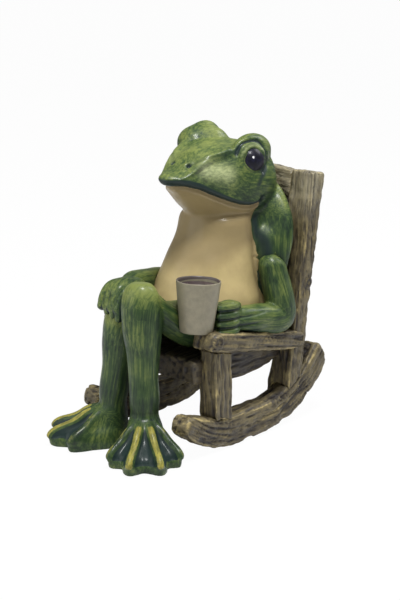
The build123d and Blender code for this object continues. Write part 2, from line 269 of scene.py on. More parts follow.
def stand(name, shape):
    """A new object in the scene from a bmesh, which is freed."""
    mesh = bpy.data.meshes.new(name)
    shape.to_mesh(mesh)
    shape.free()
    obj = bpy.data.objects.new(name, mesh)
    bpy.context.scene.collection.objects.link(obj)
    return obj


BEAD_SPACING = 0.3
MERGE_GAP = 1e-6


def beads(path, sizes):
    """Balls strung close along a path, their sizes drawn out between the given ones."""
    fine = smooth_path(path, 16)
    run = np.concatenate(((0,), np.cumsum(np.linalg.norm(np.diff(fine, axis=0), axis=1))))
    knots = np.linspace(0, 1, len(sizes))
    balls = []
    gone = 0.0
    while gone <= run[-1]:
        spot = [np.interp(gone, run, fine[:, axis]) for axis in range(3)]
        size = np.interp(gone / run[-1], knots, sizes)
        balls.append((spot, size))
        gone += size * BEAD_SPACING
    return balls


def mould(name, nodes, voxel, balls=(), rounds=4):
    """One skin over copies of CAD nodes and added balls, in even small faces."""
    shape = bmesh.new()
    for node in nodes:
        shape.from_mesh(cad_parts[node].data)
    bmesh.ops.remove_doubles(shape, verts=shape.verts, dist=MERGE_GAP)
    for spot, size in balls:
        bmesh.ops.create_icosphere(
            shape, subdivisions=3, radius=size * MM, matrix=Matrix.Translation(place(spot)))
    obj = stand(name, shape)
    even = obj.modifiers.new("even faces", "REMESH")
    even.mode = "VOXEL"
    even.voxel_size = voxel * MM
    even.adaptivity = 0
    add_smoothing(obj, rounds)
    finish_shape(obj)
    return Skin(obj)


# Finishes.
class Finish:
    """A material whose nodes are added step by step."""

    def __init__(self, name, roughness=0.5, coat=0.0, coat_roughness=0.1, specular=0.5):
        self.material = bpy.data.materials.new(name)
        self.material.use_nodes = True
        self.tree = self.material.node_tree
        self.shader = self.tree.nodes["Principled BSDF"]
        self.shader.inputs["Roughness"].default_value = roughness
        self.shader.inputs["Coat Weight"].default_value = coat
        self.shader.inputs["Coat Roughness"].default_value = coat_roughness
        self.shader.inputs["Specular IOR Level"].default_value = specular

    def put(self, socket, value):
        if isinstance(value, bpy.types.NodeSocket):
            self.tree.links.new(value, socket)
        elif isinstance(value, (tuple, list)) and len(value) == 3 and socket.type == "RGBA":
            socket.default_value = (*value, 1)
        else:
            socket.default_value = value

    def kept(self, name, vector=False):
        """A value kept on the corners."""
        node = self.tree.nodes.new("ShaderNodeAttribute")
        node.attribute_name = name
        return node.outputs["Vector" if vector else "Fac"]

    def where(self):
        """Object coordinates, in mm."""
        node = self.tree.nodes.new("ShaderNodeTexCoord")
        scaled = self.tree.nodes.new("ShaderNodeVectorMath")
        scaled.operation = "SCALE"
        self.tree.links.new(node.outputs["Object"], scaled.inputs[0])
        scaled.inputs["Scale"].default_value = 1 / MM
        return scaled.outputs[0]

    def noise(self, vector, size, detail=3.0, roughness=0.55, twist=0.0):
        node = self.tree.nodes.new("ShaderNodeTexNoise")
        self.put(node.inputs["Vector"], vector)
        node.inputs["Scale"].default_value = 1 / size
        node.inputs["Detail"].default_value = detail
        node.inputs["Roughness"].default_value = roughness
        node.inputs["Distortion"].default_value = twist
        return node.outputs["Fac"]

    def math(self, operation, one, two):
        node = self.tree.nodes.new("ShaderNodeMath")
        node.operation = operation
        self.put(node.inputs[0], one)
        self.put(node.inputs[1], two)
        return node.outputs[0]

    def times(self, one, two):
        return self.math("MULTIPLY", one, two)

    def total(self, *terms):
        """The sum of values, each times its weight; a third number is taken off the value first."""
        whole = None
        for value, weight, *middle in terms:
            if middle:
                value = self.math("SUBTRACT", value, middle[0])
            if weight != 1:
                value = self.times(value, weight)
            whole = value if whole is None else self.math("ADD", whole, value)
        return whole

    def span(self, value, low, high, start=0.0, end=1.0):
        """The value's range from low to high, spread smoothly over start to end."""
        node = self.tree.nodes.new("ShaderNodeMapRange")
        node.interpolation_type = "SMOOTHSTEP"
        for name, given in (("Value", value), ("From Min", low), ("From Max", high),
                            ("To Min", start), ("To Max", end)):
            self.put(node.inputs[name], given)
        return node.outputs[0]

    def mix(self, share, one, two):
        node = self.tree.nodes.new("ShaderNodeMix")
        node.data_type = "RGBA"
        colours = [socket for socket in node.inputs if socket.type == "RGBA"]
        self.put(node.inputs[0], share)
        self.put(colours[0], one)
        self.put(colours[1], two)
        return [socket for socket in node.outputs if socket.type == "RGBA"][0]

    def bump(self, height, strength, distance=0.3):
        node = self.tree.nodes.new("ShaderNodeBump")
        node.inputs["Strength"].default_value = strength
        node.inputs["Distance"].default_value = distance * MM
        self.put(node.inputs["Height"], height)
        self.put(self.shader.inputs["Normal"], node.outputs[0])

    def colour(self, value):
        self.put(self.shader.inputs["Base Color"], value)

    def roughness(self, value):
        self.put(self.shader.inputs["Roughness"], value)


NOISE_MID = 0.5
GREEN_DEEP = (0.006, 0.017, 0.009)
GREEN_MID = (0.034, 0.066, 0.018)
GREEN_SUN = (0.150, 0.180, 0.045)
GREEN_PALE = (0.42, 0.46, 0.24)
TEAL_DARK = (0.009, 0.020, 0.018)
TEAL_WEB = (0.008, 0.020, 0.018)
CREAM_LIT = (0.43, 0.34, 0.160)
CREAM_DULL = (0.36, 0.28, 0.132)
CREAM_SHADOWED = (0.18, 0.135, 0.064)
STRIPE_YELLOW = (0.27, 0.245, 0.045)
STRIPE_DULL = (0.13, 0.125, 0.028)
WOOD_GROOVE = (0.016, 0.012, 0.011)
WOOD_UMBER = (0.062, 0.049, 0.026)
WOOD_OLIVE = (0.135, 0.108, 0.050)
WOOD_KHAKI = (0.360, 0.285, 0.120)
WOOD_PALE_HIGH = (0.33, 0.30, 0.21)
CUP_DULL = (0.165, 0.148, 0.100)
CUP_LIT = (0.215, 0.193, 0.130)
CUP_SPECK = (0.20, 0.16, 0.13)
CUP_INNER_RIM = (0.045, 0.032, 0.036)
COFFEE_DARK = (0.022, 0.014, 0.018)
COFFEE_LIT = (0.060, 0.038, 0.042)
EYE_BLACK = (0.005, 0.005, 0.010)
EYE_BLUE = (0.012, 0.012, 0.026)
EYE_GLINT = (0.9, 0.9, 0.9)


def frog_paint():
    """Green brush strokes under varnish, with a cream front, painted shade in the folds and yellow
    toes.
    """
    paint = Finish("frog paint", roughness=0.5, coat=0.16, coat_roughness=0.18, specular=0.22)
    spot = paint.where()
    flow = paint.kept("flow", vector=True)
    streak = paint.noise(flow, 1.1, 5, 0.65, 0.2)
    fine = paint.noise(flow, 0.45, 3, 0.6)
    patch = paint.noise(spot, 11.0, 4, 0.6)

    def brushed(name, low, high):
        """A kept value as a mask with ragged brush edges."""
        return paint.span(paint.total((paint.kept(name), 1), (streak, 0.7, NOISE_MID)), low, high)

    tone = paint.total((streak, 0.62), (patch, 0.38), (fine, 0.25, NOISE_MID),
                       (paint.kept("sun"), 0.30))
    green = paint.mix(paint.span(tone, 0.30, 0.58), GREEN_DEEP, GREEN_MID)
    green = paint.mix(paint.span(tone, 0.46, 0.76), green, GREEN_SUN)
    pale_paint_and_sheen = paint.times(paint.kept("pale_paint_and_sheen"), paint.span(streak, 0.30, 0.75, 0.45, 1.0))
    green = paint.mix(pale_paint_and_sheen, green, GREEN_PALE)
    green = paint.mix(brushed("shade", 0.22, 0.80), green, TEAL_DARK)
    sheen = paint.mix(paint.span(streak, 0.60, 0.82, 0.0, 0.35), TEAL_WEB, GREEN_MID)
    green = paint.mix(brushed("web", 0.40, 0.62), green, sheen)
    yellow = paint.mix(paint.span(fine, 0.35, 0.65), STRIPE_DULL, STRIPE_YELLOW)
    green = paint.mix(brushed("stripe", 0.42, 0.60), green, yellow)
    body = paint.mix(paint.span(paint.noise(spot, 8.0, 4, 0.6), 0.25, 0.75), CREAM_DULL, CREAM_LIT)
    # The cream is darkened by painted shadow under the head, and along its side edge.
    body = paint.mix(paint.times(paint.kept("head_shadow_and_edge_dark"), 0.95), body, CREAM_SHADOWED)
    border = paint.noise(spot, 2.2, 3, 0.6)
    cream = paint.span(paint.total((paint.kept("cream"), 1), (border, 0.5, NOISE_MID)), 0.44, 0.56)
    paint.colour(paint.mix(cream, green, body))
    strokes = paint.total((streak, 0.7), (fine, 0.4))
    paint.bump(paint.times(strokes, paint.span(cream, 0, 1, 1.0, 0.25)), 0.35, 0.35)
    paint.roughness(paint.span(paint.noise(spot, 5.0, 3), 0.3, 0.7, 0.42, 0.62))
    return paint.material


def log_paint():
    """Cast bark: dark plum-brown in the grooves, khaki and olive dragged over the ridges."""
    paint = Finish("log paint", roughness=0.6, coat=0.12, coat_roughness=0.3, specular=0.4)
    flow = paint.kept("flow", vector=True)
    streak = paint.noise(flow, 1.3, 5, 0.65, 0.4)
    fine = paint.noise(flow, 0.5, 4, 0.7)
    patch = paint.noise(paint.where(), 6.0, 5, 0.7)
    tone = paint.total((streak, 0.5), (patch, 0.5), (fine, 0.35, NOISE_MID),
                       (paint.kept("hollow"), -0.36), (paint.kept("edge"), 0.11))
    wood = paint.mix(paint.span(tone, 0.14, 0.40), WOOD_GROOVE, WOOD_UMBER)
    wood = paint.mix(paint.span(tone, 0.38, 0.56), wood, WOOD_OLIVE)
    wood = paint.mix(paint.span(tone, 0.54, 0.70), wood, WOOD_KHAKI)
    paler_up_high = paint.times(paint.kept("paler_up_high"), paint.span(streak, 0.35, 0.65, 0.1, 0.75))
    paint.colour(paint.mix(paler_up_high, wood, WOOD_PALE_HIGH))
    paint.bump(paint.total((streak, 1), (fine, 0.6)), 0.75, 0.4)
    paint.roughness(paint.span(streak, 0.3, 0.7, 0.45, 0.72))
    return paint.material


def cup_paint():
    """Warm grey resin with a faint mottle, darker at the rim's inner top."""
    paint = Finish("cup paint", roughness=0.5, coat=0.15, coat_roughness=0.25)
    mottle = paint.noise(paint.where(), 3.0, 5, 0.65)
    grey = paint.mix(paint.span(mottle, 0.3, 0.7), CUP_DULL, CUP_LIT)
    speck = paint.span(paint.noise(paint.where(), 0.7, 2), 0.68, 0.76)
    grey = paint.mix(paint.times(speck, 0.35), grey, CUP_SPECK)
    inner_rim_dark = paint.span(paint.total((paint.kept("inner_rim_dark"), 1), (mottle, 0.8, NOISE_MID)), 0.4, 0.7)
    paint.colour(paint.mix(paint.times(inner_rim_dark, 0.85), grey, CUP_INNER_RIM))
    paint.bump(mottle, 0.25, 0.2)
    paint.roughness(paint.span(mottle, 0.3, 0.7, 0.42, 0.6))
    return paint.material


def coffee_paint():
    """Dark brown brushed into the cup."""
    paint = Finish("coffee paint", roughness=0.25, coat=0.5, coat_roughness=0.08)
    swirl = paint.noise(paint.where(), 2.5, 4, 0.6, 0.8)
    paint.colour(paint.mix(paint.span(swirl, 0.35, 0.7), COFFEE_DARK, COFFEE_LIT))
    paint.bump(swirl, 0.3, 0.3)
    return paint.material


def eye_paint():
    """Near black gloss with a small white glint."""
    paint = Finish("eye paint", roughness=0.45, coat=0.12, coat_roughness=0.08, specular=0.12)
    mottle = paint.noise(paint.where(), 1.6, 4, 0.6)
    ink = paint.mix(paint.span(mottle, 0.4, 0.7), EYE_BLACK, EYE_BLUE)
    paint.colour(paint.mix(paint.kept("glint"), ink, EYE_GLINT))
    return paint.material


frog_finish = frog_paint()
log_finish = log_paint()
cup_finish = cup_paint()
coffee_finish = coffee_paint()
eye_finish = eye_paint()


def hand_over(skin, finish, slot, *nodes):
    """The piece stands for its CAD nodes, in its finish."""
    skin.obj.data.materials.clear()
    skin.obj.data.materials.append(finish)
    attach(skin.obj, "root")
    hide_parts(*nodes)


# The log chair. Each log has a middle line, along which its grain runs.
LOG_VOXEL = 0.6
POST_X = 26.5
BACK_LEAN = radians(8.7)
ARM_SLOPE = radians(11.0)
FRONT_POST_Y, FRONT_POST_HEIGHT = -19.8, (8, 48)
BACK_POST_FOOT, BACK_POST_LONG = (25.3, 25.5, 14.0), 99
BACK_POST_KNOT = (31.0, 34.0, 62.0)
ARM_START, ARM_LONG = (26.3, -28.0, 48.3), 60
ARM_KNOT = (32.4, -24.6, 48.2)
SLAT_X, SLAT_FOOT, SLAT_LONG = 12.2, (29.3, 39.0), 70
CREST_Y, CREST_Z, CREST_HALF = 40.0, 104.5, 24
SEAT_Z = 34.0
APRON_X = 20.8
ROCKER_LINE = ((-46, 18.5), (-40, 15.5), (-30, 10.3), (-20, 7.6), (-12, 6.8), (5, 6.8),
               (15, 8.6), (25, 12.4), (35, 19.0), (43, 26.5), (49, 34))
back_way = np.array((0, sin(BACK_LEAN), cos(BACK_LEAN)))
arm_way = np.array((0, cos(ARM_SLOPE), -sin(ARM_SLOPE)))

# Sizes of the bark's noise in mm, and the spans in which its masks rise.
GROOVE_SIZE, GROOVE_WANDER, GROOVE_PATCH = 2.9, 1.2, 12.0
CRACK_SIZE = 1.5
PIT_SIZE = 1.9
LUMP_SIZE, SMALL_LUMP = (7, 7, 9), 3.5
END_SPAN = (0.62, 0.86)
EDGE_SPAN = (0.02, 0.22)
UPRIGHT = 0.8
PALE_HEIGHT = (84, 104)
PALE_MOST = 0.8
DARKEST = 1.4


def carve_log(skin, path, seed, lumps, grooves=0.75, knots=(), dusk=0.0):
    """Lumps, long grooves, fine cracks, pitted ends and knots; painted shade can darken the whole
    log.
    """
    flow = flow_of(skin.at, path)
    near = Near(skin.at, path)
    ends = step(*END_SPAN, np.abs((skin.out * near.way).sum(axis=1)))
    wide = np.abs(cloud(flow, GROOVE_SIZE, seed + 1) + 0.35 * cloud(flow, GROOVE_WANDER, seed + 2))
    sparse = step(-0.25, 0.35, cloud(skin.at, GROOVE_PATCH, seed + 9))
    groove = (1 - step(0.02, 0.20, wide)) * (0.35 + 0.65 * sparse)
    crack = 1 - step(0.01, 0.13, np.abs(cloud(flow, CRACK_SIZE, seed + 3)))
    pits = step(0.12, 0.55, cloud(skin.at, PIT_SIZE, seed + 4))
    hollow = (0.95 * groove + 0.45 * crack) * (1 - ends) + 0.9 * pits * ends
    rough = cloud(skin.at, LUMP_SIZE, seed + 5) + 0.5 * cloud(skin.at, SMALL_LUMP, seed + 6)
    rise = lumps * rough - grooves * hollow
    for spot, size, height in knots:
        away = np.linalg.norm(skin.at - np.array(spot), axis=1) / size
        boss, dent = 1 - step(0.75, 1.15, away), 1 - step(0.3, 0.62, away)
        rise = rise + height * boss - 0.9 * height * dent
        hollow = (hollow + 0.8 * (1 - step(0.0, 0.26, np.abs(away - 0.55)))
                  + 0.5 * (1 - step(0, 0.2, np.abs(away - 1.12))))
    # The log's long edges are rubbed lighter: there no side of it is faced squarely.
    upright = np.abs(near.way[:, 2:]) > UPRIGHT
    side_way = np.cross(near.way, np.where(upright, (0.0, 1.0, 0.0), (0.0, 0.0, 1.0)))
    side_way /= np.linalg.norm(side_way, axis=1, keepdims=True)
    ways = (near.way, side_way, np.cross(near.way, side_way))
    faces = [np.abs((skin.out * way).sum(axis=1)) for way in ways]
    skin.paint("edge", step(*EDGE_SPAN, 1 - np.max(faces, axis=0)))
    # The logs are painted paler towards the top.
    skin.paint("paler_up_high", PALE_MOST * step(*PALE_HEIGHT, skin.at[:, 2]))
    skin.push(rise)
    skin.paint("flow", flow)
    # The hollows' dark wash, with painted shade over the whole log where it is given.
    skin.paint("hollow", np.clip(hollow + dusk, 0, DARKEST))


def build_log(node, path, seed, balls=(), **cuts):
    skin = mould("log_" + node, [node], LOG_VOXEL, balls=balls, rounds=3)
    carve_log(skin, path, seed, **cuts)
    hand_over(skin, log_finish, "weathered_log", node)


SIDE_SEEDS = {"left": 20, "right": 60}
for side, word in SIDES:
    seed = SIDE_SEEDS[word]
    flip = np.array((side, 1, 1))
    rocker_line = smooth_path([(side * POST_X, y, z) for y, z in ROCKER_LINE], 3)
    build_log("rocker_" + word, rocker_line, seed, lumps=0.6, grooves=0.8)
    front_post_line = [(side * POST_X, FRONT_POST_Y, z) for z in FRONT_POST_HEIGHT]
    build_log("front_post_" + word, front_post_line, seed + 7, lumps=0.55)
    post_foot = BACK_POST_FOOT * flip
    build_log("back_post_" + word, [post_foot, post_foot + BACK_POST_LONG * back_way], seed + 14,
              lumps=0.5, knots=[(BACK_POST_KNOT * flip, 2.6, 0.7)])
    arm_start = ARM_START * flip
    build_log("armrest_" + word, [arm_start, arm_start + ARM_LONG * arm_way], seed + 21,
              lumps=0.5, knots=[(ARM_KNOT * flip, 3.0, 0.9)])

SLAT_SEED = 90
for place_x, word in ((-SLAT_X, "right"), (0, "middle"), (SLAT_X, "left")):
    foot = np.array((place_x, *SLAT_FOOT))
    build_log("back_slat_" + word, [foot, foot + SLAT_LONG * back_way], SLAT_SEED + place_x,
              lumps=0.3, grooves=0.5)
build_log("crest_rail", [(x, CREST_Y, CREST_Z) for x in (-CREST_HALF, CREST_HALF)], 101,
          lumps=0.5)

# An apron strip hangs under each side of the seat.
apron = []
for side, _ in SIDES:
    x = side * APRON_X
    apron += beads([(x, -13.0, 29.2), (x, 3.0, 28.4), (x, 19.0, 29.6)], (3.2, 3.6, 3.0))
# Painted shade: the seat is darkened all over, where it lies under the frog.
build_log("seat", [(0, -30.0, SEAT_Z), (0, 33.0, SEAT_Z)], 117, balls=apron, lumps=0.5, dusk=0.5)


# The frog. Paths for its limbs, as in the CAD.
LEFT_ARM_LINE = [(24.6, 17.0, 73.5), (28.8, 19.3, 49.4), (27.4, -5.5, 53.0), (26.0, -14.0, 55.6)]
RIGHT_ARM_LINE = [(-24.0, 18.0, 74.0), (-28.0, 15.0, 57.0), (-15.5, -26.5, 64.5),
                  (-9.8, -42.0, 62.0)]
LEFT_LEG_LINE = [(10.8, 6.0, 49.5), (9.4, -20.0, 51.5), (6.6, -43.0, 65.0), (10.2, -45.5, 20.0)]
RIGHT_LEG_LINE = [(-10.8, 6.0, 49.5), (-9.4, -20.0, 51.0), (-8.4, -38.4, 53.5),
                  (-10.2, -44.0, 20.0)]
HEAD_LINE = [(0, -24.0, 114.0), (0, 33.0, 110.0)]
TORSO_LINE = [(0, 12.0, 40.0), (0, 20.0, 110.0)]
BODY_VOXEL = 0.55
ARM_VOXEL = 0.5
EYE_VOXEL = 0.35

# Body: head and torso under one skin. Both halves of the head are worked as one, x standing for
# the distance from its middle.
EYE_MIDDLE = np.array((15.4, 12.9, 116.4))
EYE_AXIS = unit((0.93, -0.32, 0.12))
LID_OUT, LID_WIDE, LID_HIGH, LID_THICK = 2.5, 5.3, 6.2, 1.05
MIRROR = np.array((-1, 1, 1))
lid_side = unit(np.cross(UP, EYE_AXIS))
lid_up = np.cross(EYE_AXIS, lid_side)
lid_ring = [EYE_MIDDLE + LID_OUT * EYE_AXIS + LID_WIDE * cos(angle) * lid_side
            + LID_HIGH * sin(angle) * lid_up for angle in np.linspace(0, 2 * pi, 13)[:-1]]
lid = [(spot, LID_THICK) for spot in smooth_path(lid_ring, 3, loop=True)]
brow_fill = beads([(12.5, 16.4, 118.2), (6.0, 18.0, 114.6), (0.0, 18.5, 113.2)], (8.2, 9.2, 9.6))
snout_ridge = beads([(4.6, -18.6, 113.6), (7.4, -11.6, 116.4), (9.8, -4.0, 118.8),
                     (12.0, 3.0, 120.8)], (2.0, 2.2, 2.3, 2.6))
shoulder = beads([(17.5, 22.0, 66.0), (19.0, 21.5, 74.0), (18.5, 21.0, 82.0)], (8.4, 8.8, 8.0))
far_brow = beads([(-13.8, 10.4, 120.6), (-12.8, 14.0, 120.6), (-9.0, 18.0, 117.6)],
                 (7.8, 8.8, 9.6))
body_balls = [(np.asarray(spot, float) * half, size)
              for spot, size in lid + brow_fill + snout_ridge + shoulder for half in (1, MIRROR)]
body = mould("frog_body", ["head", "torso"], BODY_VOXEL, balls=body_balls + far_brow)
NECK_Z, NECK_REACH, NECK_ROUNDS = 91.5, 8.5, 260
body.soften(NECK_ROUNDS, fade(body.at[:, 2] - NECK_Z, NECK_REACH))
CROWN_HEIGHT, CROWN_Y, CROWN_REACH, CROWN_ROUNDS = (96, 104), 2.0, 26, 20
body.soften(CROWN_ROUNDS, step(*CROWN_HEIGHT, body.at[:, 2])
            * fade(body.at[:, 1] - CROWN_Y, CROWN_REACH) * 0.8)

# The snout's tip slopes down to the lips.
SNOUT_Z, SNOUT_SLOPE, SNOUT_REACH = 108.5, 0.5, (6, 19)
tip_drop = (SNOUT_SLOPE * np.clip(body.at[:, 2] - SNOUT_Z, 0, None)
            * step(*SNOUT_REACH, -body.at[:, 1]))
body.move(np.outer(-tip_drop, UP))

# The near brow sits a little lower than the far one.
BROW_Z, BROW_DROP = 120.5, 0.30
high = step(0, 6, body.at[:, 0]) * np.clip(body.at[:, 2] - BROW_Z, 0, None)
body.move(np.outer(high * -BROW_DROP, UP))

# Lines on the photograph, in its pixels: the mouth, the ridge from nostril to
# eye, the fold round the eye, the dark patch behind it, and the edge of the cream front.
mouth = body.seen([(165, 184.6), (173, 187.4), (180.5, 188.0), (188, 188.2), (199.4, 190.6),
                   (209.7, 195.0), (221, 199.6), (232.7, 203.8), (241.8, 206.2), (251, 205.9),
                   (257.9, 203.2), (261.9, 198.4)])
canthus = body.seen([(190, 165.8), (201.7, 159.8), (212, 157.6), (219, 156.0), (230.4, 152.6),
                     (238.5, 148.8)])
hood = body.seen([(236.5, 154), (238.2, 148), (242.0, 143.2), (248, 140.8), (255, 140.2),
                  (261, 142.8), (265.2, 148.5), (267, 156), (266.6, 164), (263.5, 171.5)])
nostril = body.seen([(188.3, 166.0)])[0]
teal = body.seen([(265, 170), (262, 177), (259, 184)])
cream_edge = body.seen([(259, 203.5), (256, 208), (254, 212), (251.6, 220), (252.4, 230),
                        (255.5, 245), (256.6, 258), (257, 272), (259, 286), (263, 296), (269, 303)])

HEAD_FROM = (92, 97)
MOUTH_CUT, MOUTH_WIDTH = 0.95, 0.75
UPPER_LIP_RISE, UPPER_LIP_Z, UPPER_LIP_WIDTH = 0.55, 1.7, 1.3
LOWER_LIP_RISE, LOWER_LIP_Z, LOWER_LIP_WIDTH = 0.35, -1.6, 1.2
CANTHUS_CUT, CANTHUS_WIDTH = 0.35, 1.0
HOOD_CUT, HOOD_WIDTH = 0.9, 0.85
NOSTRIL_CUT, NOSTRIL_WIDTH = 1.1, 0.8
NOSTRIL_RIM_RISE, NOSTRIL_RIM_OUT, NOSTRIL_RIM_WIDTH = 0.35, 1.6, 0.7
CORNER_CUT, CORNER_WIDTH = 1.0, 1.3
BODY_WAVE, BODY_WAVE_SIZE = 0.25, 8.0
SIDE_CUT, SIDE_CUT_PAST, SIDE_CUT_WIDTH, SIDE_CUT_X = 0.8, 0.6, 1.4, (7, 11)
fold = body.at.copy()
fold[:, 0] = np.abs(fold[:, 0])
on_head = step(*HEAD_FROM, fold[:, 2])
on_torso = 1 - on_head
mouth_order = np.argsort(mouth[:, 1])
mouth_y, mouth_z = mouth[mouth_order, 1], mouth[mouth_order, 2]
corner_y = mouth_y[-1]
before_corner = 1 - step(corner_y - 0.5, corner_y + 1.5, fold[:, 1])
above = fold[:, 2] - np.interp(fold[:, 1], mouth_y, mouth_z)
mouth_groove = fade(Near(fold, smooth_path(mouth)).gap, MOUTH_WIDTH)
upper_lip = fade(above - UPPER_LIP_Z, UPPER_LIP_WIDTH) * before_corner
lower_lip = fade(above - LOWER_LIP_Z, LOWER_LIP_WIDTH) * before_corner
canthus_gap = Near(fold, smooth_path(canthus)).gap
hood_groove = fade(Near(fold, smooth_path(hood)).gap, HOOD_WIDTH)
nostril_gap = np.linalg.norm(fold - nostril, axis=1)
corner_gap = np.linalg.norm(fold - mouth[-1], axis=1)
edge_order = np.argsort(cream_edge[:, 2])
past_cream = fold[:, 1] - np.interp(
    fold[:, 2], cream_edge[edge_order, 2], cream_edge[edge_order, 1])
body.push(
    -MOUTH_CUT * mouth_groove + UPPER_LIP_RISE * upper_lip + LOWER_LIP_RISE * lower_lip
    - CANTHUS_CUT * fade(canthus_gap, CANTHUS_WIDTH) - HOOD_CUT * hood_groove
    - NOSTRIL_CUT * fade(nostril_gap, NOSTRIL_WIDTH)
    + NOSTRIL_RIM_RISE * fade(nostril_gap - NOSTRIL_RIM_OUT, NOSTRIL_RIM_WIDTH)
    - CORNER_CUT * fade(corner_gap, CORNER_WIDTH)
    + BODY_WAVE * cloud(body.at, BODY_WAVE_SIZE, 3)
    - SIDE_CUT * on_torso * fade(past_cream - SIDE_CUT_PAST, SIDE_CUT_WIDTH)
    * step(*SIDE_CUT_X, fold[:, 0])
)
body.soften(1)
body.paint("flow", flow_of(body.at, HEAD_LINE, HEAD_SQUEEZE) * on_head[:, None]
           + flow_of(body.at, TORSO_LINE) * on_torso[:, None])
body.paint("cream", (1 - step(-0.4, 0.6, above)) * (1 - step(-0.6, 0.6, past_cream)))
lip_width = np.interp(fold[:, 1], (mouth_y[0], corner_y), (0.8, 1.5))
lip_band = step(-0.4, 0.4, above) * (1 - step(2.0, 3.8, above * lip_width)) * before_corner
eye_gap = np.linalg.norm(fold - (EYE_MIDDLE + 3.0 * EYE_AXIS), axis=1)
teal_gap = Near(fold, smooth_path(teal)).gap
body.paint("shade", np.clip(
    1.2 * lip_band + 1.0 * mouth_groove + 0.9 * hood_groove + 0.45 * fade(canthus_gap, 1.8)
    + 1.1 * fade(nostril_gap, 0.9) + 0.8 * fade(corner_gap, 1.6) + 0.5 * fade(eye_gap - 5.2, 0.6)
    + 0.7 * fade(teal_gap, 1.8) + 0.72 * on_torso * fade(past_cream - 2.0, 2.6), 0, 1.3))
body.paint("sun", np.clip(on_head * body.out[:, 2] * 0.35 + 0.35 * cloud(body.at, 9.0, 5)
                          - 0.05 * on_torso, -0.5, 1.0))
# Painted highlight with pale paint: the cheek under the ridge is painted pale where a sheen lies,
# and the lids' rim is painted pale.
cheek_gap = Near(fold, body.seen([(207, 170), (228, 174)])).gap
lid_rim = fade(eye_gap - 6.4, 0.5) * step(117, 121, fold[:, 2])
body.paint("pale_paint_and_sheen", np.clip(0.85 * fade(cheek_gap, 3.6) + 0.5 * lid_rim, 0, 1))
# Painted shadow: the chest is painted darker above a slanting line, where the head's shadow falls.
# The cream is also darker along its side edge.
THROAT_Y, THROAT_Z, THROAT_SLANT, THROAT_EDGE = -8, 75, 0.35, (-4, 4)
throat = step(*THROAT_EDGE, fold[:, 2] - THROAT_Z - THROAT_SLANT * (fold[:, 1] - THROAT_Y))
body.paint("head_shadow_and_edge_dark", np.clip(0.55 * fade(past_cream + 1.0, 2.2) + 0.8 * throat, 0, 1))
hand_over(body, frog_finish, "belly_cream", "head", "torso")

# Eyes, each a fifth larger than its solid and drawn down to its lids.
EYE_HUB = (15.2, 13.2, 119.0)
EYE_GROWTH, EYE_SHIFT = 0.2, (0.2, -0.3, -2.6)
GLINT_OUT, GLINT_WAY, GLINT_EDGE = 6.2, (0.80, -0.52, 0.36), (0.30, 0.50)
for side, word in SIDES:
    eye = mould("eyeball_" + word, ["eye_" + word], EYE_VOXEL, rounds=2)
    flip = np.array((side, 1, 1))
    eye.move((eye.at - EYE_HUB * flip) * EYE_GROWTH + EYE_SHIFT * flip)
    glint = (EYE_MIDDLE + GLINT_OUT * unit(GLINT_WAY)) * flip
    eye.paint("glint", 1 - step(*GLINT_EDGE, np.linalg.norm(eye.at - glint, axis=1)))
    hand_over(eye, eye_finish, "eye_navy", "eye_" + word)

# Arms. Four fingers close on the cup, and four droop over the right knee.
GRIP_Z = 55.4
GRIP_DROPS = (5.6, 1.9, -1.8, -5.4)
DROOP_ASIDES = (-4.6, -1.4, 1.8, 4.8)
grip = []
for drop in GRIP_DROPS:
    knuckle = GRIP_Z + drop
    grip += beads([(27.0, -8.0, knuckle * 0.6 + 22.2), (29.6, -13.0, knuckle),
                   (27.6, -19.4, knuckle - 0.4)], (2.6, 2.25, 1.75))
droop = []
for aside in DROOP_ASIDES:
    end_x = -9.6 + aside * 1.15
    droop += beads([(-11.0 + aside * 0.6, -30.0, 66.4), (-9.8 + aside, -39.0, 67.0),
                    (end_x, -44.4, 63.0), (end_x, -45.6, 57.0 - 0.35 * aside)],
                   (2.8, 2.3, 2.1, 1.6))
left_arm = mould("frog_arm_left", ["upper_arm_left", "forearm_left", "hand_left"], ARM_VOXEL,
                 balls=beads(LEFT_ARM_LINE[:3], (4.6, 6.0, 5.9, 5.7, 5.6, 5.4)) + grip)
right_arm = mould("frog_arm_right", ["upper_arm_right", "forearm_right", "hand_right"], ARM_VOXEL,
                  balls=beads(RIGHT_ARM_LINE[:3], (6.0, 6.0, 5.8, 5.4, 5.0)) + droop)
# The left arm's top sinks into the shoulder.
ARM_TOP_SINK, ARM_TOP = 2.2, (72, 79)
left_arm.push(-ARM_TOP_SINK * step(*ARM_TOP, left_arm.at[:, 2]))
# The fingers' gaps lie evenly, up the left hand and across the right.
LEFT_GAP_Z, LEFT_GAP_APART = 55.45, 3.66
RIGHT_GAP_X, RIGHT_GAP_APART = -9.6, 3.5
GAP_WIDTH = 0.16
ARM_WAVE, ARM_WAVE_SIZE = 0.3, 8.0
left_fingers = (left_arm.at[:, 2] - LEFT_GAP_Z) / LEFT_GAP_APART
right_fingers = (right_arm.at[:, 0] - RIGHT_GAP_X) / RIGHT_GAP_APART
for arm, line, seed, fingers, hand_reach, depth in (
    (left_arm, LEFT_ARM_LINE, 31, left_fingers, (-8, 8), 0.7),
    (right_arm, RIGHT_ARM_LINE, 37, right_fingers, (36, 42), 0.25),
):
    arm.push(ARM_WAVE * cloud(arm.at, ARM_WAVE_SIZE, seed))
    arm.paint("flow", flow_of(arm.at, smooth_path(line)))
    arm.paint("sun", np.clip(0.2 * arm.out[:, 2] + 0.06 + 0.3 * cloud(arm.at, 10.0, seed + 1),
                             -0.5, 1))
    gaps = fade(fingers - np.round(fingers), GAP_WIDTH) * step(*hand_reach, -arm.at[:, 1])
    arm.push(-depth * gaps)
    arm.paint("shade", np.clip(-arm.out[:, 2] * 0.55 - 0.1 + 0.9 * gaps, 0, 1))
hand_over(left_arm, frog_finish, "frog_green", "upper_arm_left", "forearm_left", "hand_left")
hand_over(right_arm, frog_finish, "frog_green", "upper_arm_right", "forearm_right", "hand_right")

